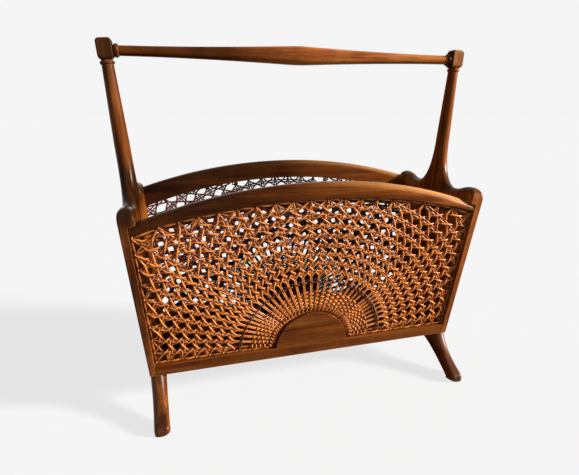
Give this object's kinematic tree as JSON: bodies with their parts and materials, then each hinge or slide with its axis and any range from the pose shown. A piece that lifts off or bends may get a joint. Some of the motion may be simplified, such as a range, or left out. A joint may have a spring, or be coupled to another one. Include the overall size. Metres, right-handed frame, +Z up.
{
  "type": "newspaper rack",
  "caption": "Free-standing wooden newspaper rack with leaning sun-pattern caned sides, end boards that rise into posts, arched feet and a turned carrying handle.",
  "frame": {"origin": "on the floor, under the middle of the rack", "axes": "+X along the handle, +Y from the front caned side to the back one, +Z up"},
  "size_m": [0.4736, 0.242, 0.4475],
  "materials": {
    "wood": "dark stained and polished",
    "cane": "glossy aged cane",
    "dowel": "plain beech"
  },
  "bodies": {
    "root": {"left_end_board": "wood", "right_end_board": "wood", "left_foot": "wood", "right_foot": "wood", "handle_bar": "wood", "front_top_rail": "wood", "back_top_rail": "wood", "front_bottom_rail": "wood", "back_bottom_rail": "wood", "bottom_board": "wood", "rail_dowels": "dowel", "foot_dowels": "dowel", "front_cane_rays": "cane", "front_cane_rings": "cane", "front_sun_weave": "cane", "front_twined_ring": "cane", "front_cane_binder": "cane", "back_cane_rays": "cane", "back_cane_rings": "cane", "back_sun_weave": "cane", "back_twined_ring": "cane", "back_cane_binder": "cane"}
  },
  "joints": []
}
